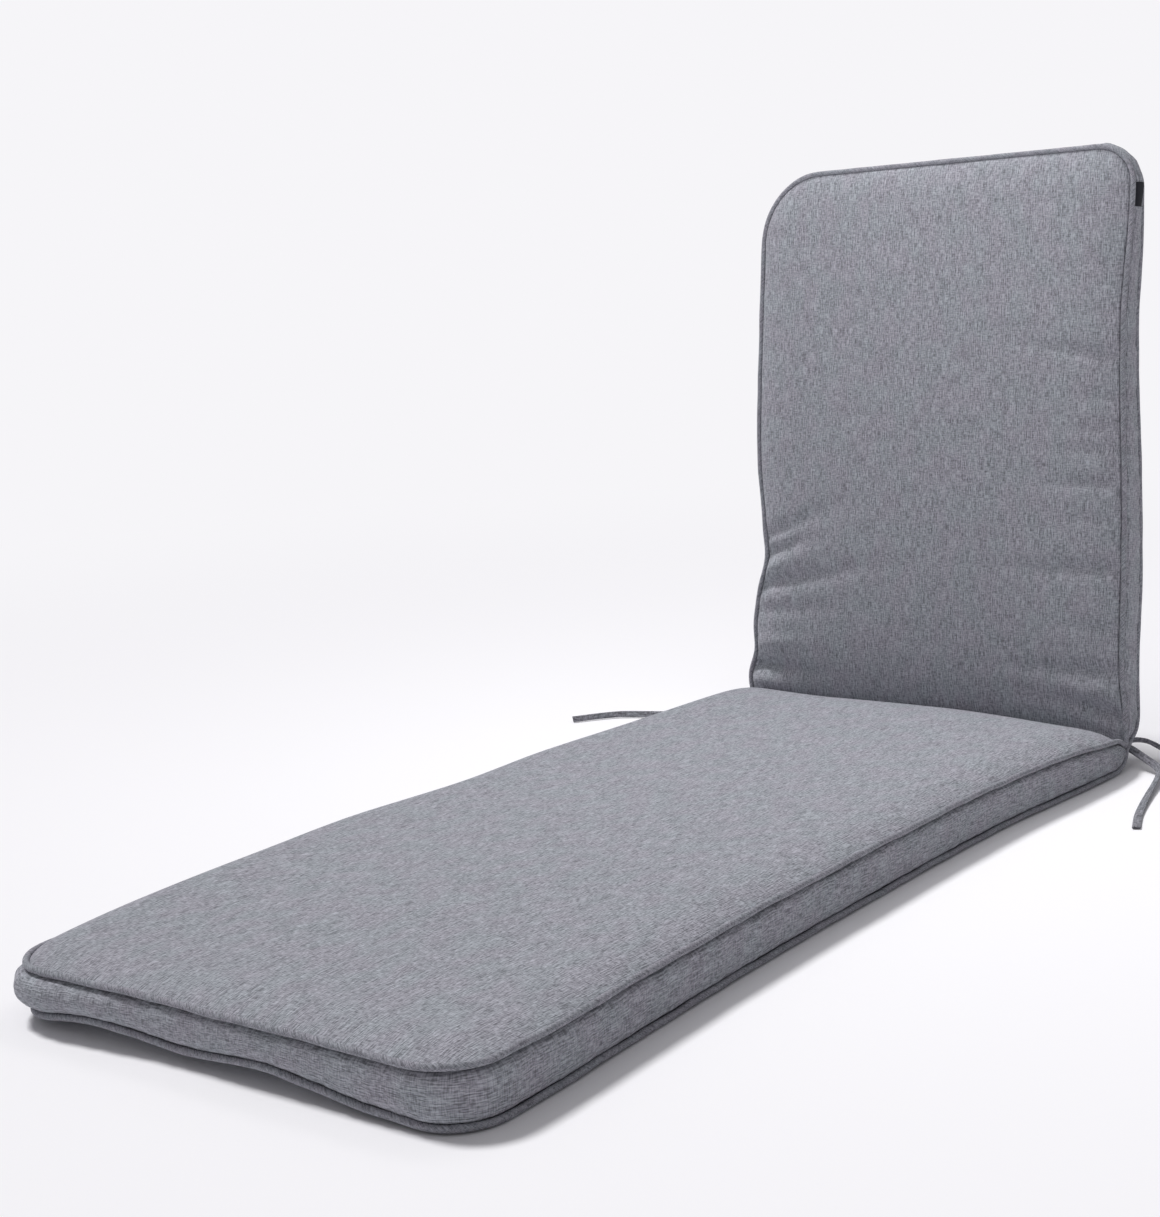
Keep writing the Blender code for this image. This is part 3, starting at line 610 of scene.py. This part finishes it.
def to_world(section, across, along, height):
    """Seat points lie over the floor; back points stand on the fold and lean back."""
    across = FOLD_X + across
    if section == "seat":
        return np.stack([across, FOLD_Y - along, height], axis=-1)
    above = height - SEAM_HIGH
    y = FOLD_Y + along * math.sin(BACK_LEAN) - above * math.cos(BACK_LEAN)
    z = SEAM_HIGH + along * math.cos(BACK_LEAN) + above * math.sin(BACK_LEAN)
    return np.stack([across, y, z], axis=-1)


def sunk(place):
    """Lowers the fold's right end, pressed down by the back, and the two tips of the fold.

    Each drop is a smooth step across times a bell curve of the distance from the fold. The
    first grows towards the right end and fades over 85 mm. The second is only in the last
    3 cm of both ends, where the piping dives into the notch. Nothing goes below the floor,
    where the cushion rests flat.
    """
    x, y, z = (place[..., axis] for axis in range(3))
    share = np.clip((x - FOLD_X - SINK_FROM) / (SINK_FULL - SINK_FROM), 0.0, 1.0)
    share = share * share * (3.0 - 2.0 * share)
    near = (y - FOLD_Y) ** 2 + (z - SEAM_HIGH) ** 2
    end = np.clip((np.abs(x - FOLD_X) - DIP_FROM) / DIP_OVER, 0.0, 1.0)
    end = end * end * (3.0 - 2.0 * end)
    drop = SINK * share * np.exp(-near / SINK_REACH ** 2)
    drop = drop + DIP * end * np.exp(-near / DIP_REACH ** 2)
    lowered = z - drop * np.clip(z / SEAM_HIGH, 0.0, 1.0)
    return np.stack([x, y, np.maximum(lowered, 0.0)], axis=-1)


def row_places(length, rows):
    """Distances from the fold: fine near it, even between, and finer and finer to the end."""
    even = length - END_STRIP - np.linspace(0.0, 1.0, rows) * (length - END_STRIP - END_GAP)
    fine = END_STRIP * (np.arange(END_ROWS) / END_ROWS) ** 2
    return np.concatenate([even[::-1], length - fine[::-1]])


def section_grid(section, length, rows, shares):
    """A section's panels on a grid of rows along and shares across, with the border's bulge.

    The front panel has its own height. The rear panel is flat, filled out by a quarter round
    inside its seam, and turns into the fold. The corners and ends then get what is their own.
    """
    along = row_places(length, rows)[:, None]
    from_end = length - along + 0.0 * shares
    radii = CORNER_RADII[section]
    inset_left = corner_inset(radii["left"], length - along)
    inset_right = corner_inset(radii["right"], length - along)
    left = side_at(section, "left", along) + inset_left
    right = side_at(section, "right", along) - inset_right
    across = left + (right - left) * shares
    front = along + 0.0 * across
    height = front_height(section, across, front, from_end)
    distance = seam_distance(section, across, front, from_end)
    last = FOLD_TURN[-1]["front"]
    rear = np.where(front < last, through(FOLD_TURN, "front", "rear", front), front)
    turn = np.radians(through(FOLD_TURN, "front", "turn", front))
    fill = SEAM_LOW * through(FOLD_TURN, "front", "fill", front) * swell(distance, REAR_REACH)
    rear_along = rear - fill * np.sin(turn)
    rear_height = through(FOLD_TURN, "front", "height", front) - fill * np.cos(turn)
    rear_across = across
    bulge = np.full(across.shape, BORDER_BULGE)
    if section == "seat":
        shift = through(FOOT_END, "across", "along", across) - SEAT_LENGTH
        shift = shift * np.exp(-(from_end / FOOT_SKEW_REACH) ** 2)
        front = front + shift
        rear_along = rear_along + shift
        lift = through(FOOT_LIFT, "across", "lift", across)
        rear_height = rear_height + lift * np.exp(-(from_end / FOOT_LIFT_ALONG) ** 2)
        inward = (across - left) / CORNER_REACH
        near_corner = np.exp(-(from_end / CORNER_REACH) ** 2) * np.exp(-inward ** 2)
        rear_across = across + CORNER_TUCK * near_corner
        bulge = bulge + CORNER_BULGE * near_corner
    else:
        rear_height = rear_height + through(BACK_THINNING, "along", "forward", rear)
        inward = (right - across) / TOP_REACH
        near_corner = np.exp(-(from_end / TOP_REACH) ** 2) * np.exp(-inward ** 2)
        rear_across = across - TOP_TUCK * near_corner
        rear_along = rear_along - TOP_TUCK * near_corner
        bulge = bulge + TOP_BULGE * near_corner
    sideways = np.zeros(across.shape)
    endways = np.zeros(across.shape)
    sideways[:, 0] = (inset_left / radii["left"] - 1.0)[:, 0]
    sideways[:, -1] = (1.0 - inset_right / radii["right"])[:, 0]
    endways[:, 0] = np.clip(1.0 - from_end[:, 0] / radii["left"], 0.0, 1.0)
    endways[:, -1] = np.clip(1.0 - from_end[:, 0] / radii["right"], 0.0, 1.0)
    sideways[-1] = 0.0
    endways[-1] = 1.0
    seat = section == "seat"
    sine, cosine = math.sin(BACK_LEAN), math.cos(BACK_LEAN)
    along_axis = np.array([0.0, -1.0, 0.0] if seat else [0.0, sine, cosine])
    up_axis = np.array([0.0, 0.0, 1.0] if seat else [0.0, -cosine, sine])
    outward = sideways[..., None] * np.array([1.0, 0.0, 0.0]) + endways[..., None] * along_axis
    return {
        "front": to_world(section, across, front, height),
        "rear": to_world(section, rear_across, rear_along, rear_height),
        "outward": outward,
        "bulge": bulge,
        "front_up": up_axis + 0.0 * outward,
        "rear_up": -(np.cos(turn)[..., None] * up_axis + np.sin(turn)[..., None] * along_axis),
        "cloth": np.stack([across, (-along if seat else along) + 0.0 * across], axis=-1),
    }


def whole_cover():
    """Both sections on one grid, with the stitched row between them, foot end first."""
    t = np.linspace(0.0, 1.0, COLUMNS)
    shares = t - CROWDING * np.sin(2 * math.pi * t)
    seat = section_grid("seat", SEAT_LENGTH, SEAT_ROWS, shares)
    back = section_grid("back", BACK_LENGTH, BACK_ROWS, shares)
    start, end = (SIDES["seat"][0][side] for side in ("left", "right"))
    across = FOLD_X + start + (end - start) * shares
    flat = np.ones(COLUMNS)
    ends = np.zeros((COLUMNS, 3))
    ends[0, 0] = -1.0
    ends[-1, 0] = 1.0
    slant = np.array([0.0, math.sqrt(0.5), -math.sqrt(0.5)])
    middle = np.stack([across, FOLD_Y * flat, SEAM_HIGH * flat], -1)
    fold = {
        "front": middle + (0.0, -WEB_FRONT, WEB_FRONT),
        "rear": middle + (0.0, WEB_REAR, -WEB_REAR),
        "outward": ends,
        "bulge": BORDER_BULGE * flat,
        "front_up": flat[:, None] * -slant,
        "rear_up": flat[:, None] * slant,
        "cloth": np.stack([across - FOLD_X, 0.0 * flat], -1),
    }
    return {key: np.concatenate([seat[key][::-1], fold[key][None], back[key]]) for key in fold}


def seam_order(rows):
    """Row and column numbers once round the seam: foot end, right side, top, left side."""
    last = COLUMNS - 1
    across = np.arange(COLUMNS)
    up = np.arange(1, rows)
    row = np.concatenate([0 * across, up, 0 * across[1:] + rows - 1, up[-2::-1]])
    column = np.concatenate([across, 0 * up + last, across[-2::-1], 0 * up[:-1]])
    return row, column


cover = whole_cover()
ROWS = len(cover["front"])
seam_row, seam_column = seam_order(ROWS)
seam = {key: value[seam_row, seam_column] for key, value in cover.items()}


def cover_mesh():
    """One closed skin: the two panels' grids, joined by rings of the border between the seams.

    A ring lies between the seams by its level, and stands out by a parabola for the bulge, by
    two quarter rounds for the shoulder and by sines for the puckers. It is drawn in by the
    square of d exp(1 - d), with d the distance from the front seam, for the groove.
    """
    grid = np.arange(ROWS * COLUMNS).reshape(ROWS, COLUMNS)
    step = np.linalg.norm(np.diff(seam["front"], axis=0, append=seam["front"][:1]), axis=1)
    run = np.concatenate([[0.0], np.cumsum(step)])
    rise = np.array(BORDER_LEVELS)[1:-1, None]
    across = seam["front"] - seam["rear"]
    tall = np.linalg.norm(across, axis=1)
    full = np.clip(tall / SHOULDER_FULL, 0.0, 1.0)
    under = (1.0 - rise) * tall
    shoulder = swell(rise * tall, SHOULDER_REAR) * swell(under - SHOULDER_FROM, SHOULDER_FRONT)
    pinch = (under / PINCH_AT * np.exp(1.0 - under / PINCH_AT)) ** 2
    pinch = pinch * np.clip(tall / PINCH_FULL, 0.0, 1.0)
    pucker = sines(run[:-1], PUCKER_WAVES, rise)
    out = 4.0 * rise * (1.0 - rise) * seam["bulge"]
    out = out + shoulder * (BORDER_SHOULDER + BORDER_PUCKER * pucker) * full
    out = out - BORDER_PINCH * pinch
    between = seam["rear"] + across * rise[..., None] + seam["outward"] * out[..., None]
    parts = (cover["front"], cover["rear"], between)
    points = np.concatenate([part.reshape(-1, 3) for part in parts])
    rings = 2 * grid.size + np.arange(len(rise) * len(seam_row)).reshape(len(rise), -1)
    on_seam = grid[seam_row, seam_column]
    rings = np.concatenate([on_seam[None] + grid.size, rings, on_seam[None]])
    panel = np.stack([grid[:-1, :-1], grid[:-1, 1:], grid[1:, 1:], grid[1:, :-1]], -1)
    panel = panel.reshape(-1, 4)
    band = np.concatenate([ring_faces(rings[k], rings[k + 1]) for k in range(len(rings) - 1)])
    cloth = cover["cloth"].reshape(-1, 2)
    level = np.array(BORDER_LEVELS) * (SEAM_HIGH - SEAM_LOW)
    band_uv = [
        np.stack([np.stack([run[:-1], run[1:], run[1:], run[:-1]], 1),
                  np.zeros((len(step), 4)) + (low, low, high, high)], -1)
        for low, high in zip(level[:-1], level[1:])
    ]
    border_uv = np.concatenate([corner.reshape(-1, 2)[:, ::-1] for corner in band_uv]) + (2.0, 0.0)
    uvs = [cloth[panel], cloth[panel[:, ::-1]] + (5.0, 0.0), border_uv]
    faces = np.concatenate([panel, panel[:, ::-1] + grid.size, band])
    whole_border = np.concatenate([seam["rear"][None], between, seam["front"][None]])
    return points, faces.tolist(), uvs, whole_border


cover_points, cover_faces, cover_uvs, border = cover_mesh()
cushion = sewn_piece("filled_cover", sunk(cover_points), cover_faces, cover_uvs)
cushion.data.materials.append(cover_cloth)
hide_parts("cushion")

# Piping: a soft cord wrapped in the cover's cloth and caught in the seams, one run round the
# front panel and one round the rear panel. It stands just proud of the seam all the way.
PIPING_RADIUS = 0.0034
PIPING_OUT = {"front": 0.0029, "rear": 0.0026}  # out from the seam
PIPING_UP = {"front": 0.0008, "rear": 0.0014}  # away from the panel
PIPING_SETTLE = 0.0021  # added where the panel faces the floor
PIPING_WAVER = ((0.0004, 31.0, 1.0), (0.0003, 83.0, 2.0))  # size, radians in a metre, start
PIPING_SWELLING = ((0.03, 57.0, 1.0), (0.02, 141.0, 0.0))  # the same, in shares of the radius
PIPING_STEP = 0.004
PIPING_ROUND = 14
BIAS = 0.707  # turns the UVs by 45 degrees


def even_loop(points, step):
    """Points at even steps round a closed line, and the same steps for what goes with them."""
    place = points[:, :3]
    gaps = np.linalg.norm(np.diff(place, axis=0, append=place[:1]), axis=1)
    run = np.concatenate([[0.0], np.cumsum(gaps)])
    closed = np.concatenate([points, points[:1]])
    at = np.arange(0.0, run[-1], run[-1] / round(run[-1] / step))
    return np.stack([np.interp(at, run, column) for column in closed.T], -1)


def smoothed(points, passes):
    """Each point moved to the mean of itself and its neighbours round a closed line."""
    for _ in range(passes):
        points = (np.roll(points, 1, 0) + 2.0 * points + np.roll(points, -1, 0)) / 4.0
    return points


def piping_run(panel, phase):
    """Round tube carried along a panel's seam, with a slight waver of the hand-fed seam.

    Where its panel faces the floor it settles a little lower. Two sines make the waver, and
    two more make the tube thicker and thinner. Its cloth is cut on the bias.
    """
    settle = PIPING_SETTLE * np.clip(-seam[panel + "_up"][:, 2:], 0.0, 1.0) ** 2
    place = seam[panel] + seam["outward"] * PIPING_OUT[panel]
    place = place + seam[panel + "_up"] * (PIPING_UP[panel] + settle)
    loop = even_loop(np.concatenate([sunk(place), seam["outward"]], axis=1), PIPING_STEP)
    loop = smoothed(loop, 2)
    centre = loop[:, :3]
    run = np.arange(len(centre)) * PIPING_STEP
    ahead = unit(np.roll(centre, -1, 0) - np.roll(centre, 1, 0))
    side = unit(loop[:, 3:] - (loop[:, 3:] * ahead).sum(1, keepdims=True) * ahead)
    above = np.cross(ahead, side)
    centre = centre + sines(run, PIPING_WAVER, phase)[:, None] * above
    thick = PIPING_RADIUS * (1.0 + sines(run, PIPING_SWELLING, phase))
    angle = np.linspace(0, 2 * math.pi, PIPING_ROUND, endpoint=False)
    ring = np.cos(angle)[:, None] * side[:, None] + np.sin(angle)[:, None] * above[:, None]
    points = centre[:, None] + thick[:, None, None] * ring
    rings = np.arange(len(centre) * PIPING_ROUND).reshape(-1, PIPING_ROUND)
    after = np.roll(rings, -1, 0)
    faces = np.stack([rings, np.roll(rings, -1, 1), np.roll(after, -1, 1), after], -1)
    faces = faces.reshape(-1, 4)
    u = np.arange(PIPING_ROUND) * 2 * math.pi * PIPING_RADIUS / PIPING_ROUND
    wide = np.stack([u, u + u[1], u + u[1], u], -1)[None]
    length = np.stack([run, run, run + PIPING_STEP, run + PIPING_STEP], -1)[:, None]
    uvs = np.stack([(length - wide) * BIAS, (length + wide) * BIAS], -1)
    return points, faces.tolist(), [uvs]


for panel, phase in (("front", 0.7), ("rear", 2.9)):
    piping_points, piping_faces, piping_uvs = piping_run(panel, phase)
    piping = sewn_piece("piping_" + panel + "_cord", piping_points, piping_faces, piping_uvs)
    piping.data.materials.append(piping_cloth)
    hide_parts("piping_" + panel)

# Label: a small near-black woven tab, its front edge caught in the seam under the piping. It
# is left bare, and its cloth has fine cross ribs.
LABEL_ALONG = 0.683  # its middle, from the fold
LABEL_HEIGHT = 0.030
LABEL_WIDTH = 0.016
LABEL_THICKNESS = 0.0008
LABEL_FROM = 0.95  # level on the border at which it starts
LABEL_STAND, LABEL_LIFT = 0.0010, 0.0012  # off the border, and more at its loose edge
LABEL_GRID = (25, 13)


def label_sheet():
    """Sheet on the right border: along the seam one way, down the border's bulge the other.

    It starts close to the border at the front seam, and its loose edge stands off by the
    power 1.5 of the way down.
    """
    columns, rows = LABEL_GRID
    right = (seam_column == COLUMNS - 1) & (seam_row > ROWS - BACK_ROWS - END_ROWS)
    along = seam["cloth"][right][:, 1]
    places = LABEL_ALONG + np.linspace(-0.5, 0.5, columns) * LABEL_HEIGHT
    share = np.linspace(LABEL_FROM, LABEL_FROM - LABEL_WIDTH / (SEAM_HIGH - SEAM_LOW), rows)
    level = np.array(BORDER_LEVELS)
    at_places = [[np.interp(places, along, ring[right][:, axis]) for axis in range(3)]
                 for ring in border]
    surface = np.array(at_places).transpose(2, 1, 0)
    points = np.array([[np.interp(share, level, axis) for axis in column] for column in surface])
    points = points.transpose(2, 0, 1)
    lift = LABEL_STAND + LABEL_LIFT * np.linspace(0.0, 1.0, rows) ** 1.5
    points = points + lift[:, None, None] * np.array([1.0, 0.0, 0.0])
    grid = np.arange(points.shape[0] * points.shape[1]).reshape(points.shape[:2])
    faces = np.stack([grid[:-1, :-1], grid[:-1, 1:], grid[1:, 1:], grid[1:, :-1]], -1)
    faces = faces.reshape(-1, 4)
    u, v = np.meshgrid(np.linspace(0, LABEL_HEIGHT, columns), np.linspace(0, LABEL_WIDTH, rows))
    flat = np.stack([u, v], -1).reshape(-1, 2)
    return points, faces.tolist(), [flat[faces]]


def label_weave():
    """Near-black satin weave with fine ribs across."""
    finish = bpy.data.materials.new("label_weave")
    finish.use_nodes = True
    tree = finish.node_tree
    shader = tree.nodes["Principled BSDF"]
    shader.inputs["Base Color"].default_value = (0.006, 0.007, 0.014, 1.0)
    shader.inputs["Roughness"].default_value = 0.6
    place = node(tree, "ShaderNodeUVMap", (-900, 0), uv_map="cloth")
    ribs = node(tree, "ShaderNodeTexWave", (-600, 0), wave_type="BANDS", bands_direction="Y")
    ribs.inputs["Scale"].default_value = 500.0
    ribs.inputs["Distortion"].default_value = 0.4
    bump = node(tree, "ShaderNodeBump", (-300, -200))
    bump.inputs["Distance"].default_value = 0.0002
    tree.links.new(place.outputs["UV"], ribs.inputs["Vector"])
    tree.links.new(ribs.outputs["Fac"], bump.inputs["Height"])
    tree.links.new(bump.outputs["Normal"], shader.inputs["Normal"])
    return finish


label_points, label_faces, label_uvs = label_sheet()
label = sewn_piece("woven_label", label_points, label_faces, label_uvs)
label.data.materials.append(label_weave())
label_wall = label.modifiers.new("thickness", "SOLIDIFY")
label_wall.thickness = LABEL_THICKNESS
label_wall.offset = 0.0
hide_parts("label")

# Studio: a plain pale floor that runs into pale surroundings. The key light comes from high up
# on the left, a soft box hangs high in front of the back, and the pale room gives the rest.
PALE = (0.922, 0.914, 0.939, 1.0)
FLOOR_HALF = 40
EVEN_FROM, EVEN_TO = 1.2, 4.0
ROOM_LIGHT = 0.33
floor_corners = [(-FLOOR_HALF, -FLOOR_HALF, 0), (FLOOR_HALF, -FLOOR_HALF, 0),
                 (FLOOR_HALF, FLOOR_HALF, 0), (-FLOOR_HALF, FLOOR_HALF, 0)]
floor_mesh = bpy.data.meshes.new("floor")
floor_mesh.from_pydata(floor_corners, [], [(0, 1, 2, 3)])
floor = bpy.data.objects.new("floor", floor_mesh)
scene.collection.objects.link(floor)


def pale_floor():
    """Matt white near the cushion; from 1.2 to 4 m off it turns into an even pale white."""
    finish = bpy.data.materials.new("pale_floor")
    finish.use_nodes = True
    tree = finish.node_tree
    shader = tree.nodes["Principled BSDF"]
    shader.inputs["Base Color"].default_value = (0.915, 0.907, 0.930, 1.0)
    shader.inputs["Roughness"].default_value = 0.8
    shader.inputs["Specular IOR Level"].default_value = 0.0
    even = node(tree, "ShaderNodeEmission", (0, -400))
    even.inputs["Color"].default_value = PALE
    place = node(tree, "ShaderNodeTexCoord", (-900, -200))
    far = node(tree, "ShaderNodeVectorMath", (-700, -200), operation="LENGTH")
    share = node(tree, "ShaderNodeMapRange", (-500, -200), interpolation_type="SMOOTHSTEP")
    share.inputs["From Min"].default_value = EVEN_FROM
    share.inputs["From Max"].default_value = EVEN_TO
    mix = node(tree, "ShaderNodeMixShader", (300, 0))
    tree.links.new(place.outputs["Object"], far.inputs[0])
    tree.links.new(far.outputs["Value"], share.inputs["Value"])
    tree.links.new(share.outputs["Result"], mix.inputs["Fac"])
    tree.links.new(shader.outputs["BSDF"], mix.inputs[1])
    tree.links.new(even.outputs["Emission"], mix.inputs[2])
    tree.links.new(mix.outputs["Shader"], tree.nodes["Material Output"].inputs["Surface"])
    return finish


floor_mesh.materials.append(pale_floor())

surroundings = bpy.data.worlds.new("surroundings")
surroundings.use_nodes = True
sky_tree = surroundings.node_tree
sky = sky_tree.nodes["Background"]
sky.inputs["Color"].default_value = PALE
seen = node(sky_tree, "ShaderNodeLightPath", (-500, 0))
strength = node(sky_tree, "ShaderNodeMapRange", (-250, 0))
strength.inputs["To Min"].default_value = ROOM_LIGHT
strength.inputs["To Max"].default_value = 1.0
sky_tree.links.new(seen.outputs["Is Camera Ray"], strength.inputs["Value"])
sky_tree.links.new(strength.outputs["Result"], sky.inputs["Strength"])
scene.world = surroundings


def lamp_towards(name, kind, place, aim, power):
    """A lamp at a place, turned towards its aim."""
    lamp = bpy.data.lights.new(name, kind)
    lamp.energy = power
    holder = bpy.data.objects.new(name, lamp)
    way = Vector(place) - Vector(aim)
    turn = way.to_track_quat("Z", "Y").to_matrix().to_4x4()
    holder.matrix_world = Matrix.Translation(place) @ turn
    scene.collection.objects.link(holder)
    return lamp


key_from_left = lamp_towards("key_from_left", "SUN", (-2.9, 0.1, 5), (0, 0, 0), 2.40)
key_from_left.angle = math.radians(12)
soft_box = lamp_towards("soft_box", "AREA", (0, 0.24, 1.25), (0, 0.60, 0.70), 3.6)
soft_box.size = 0.9
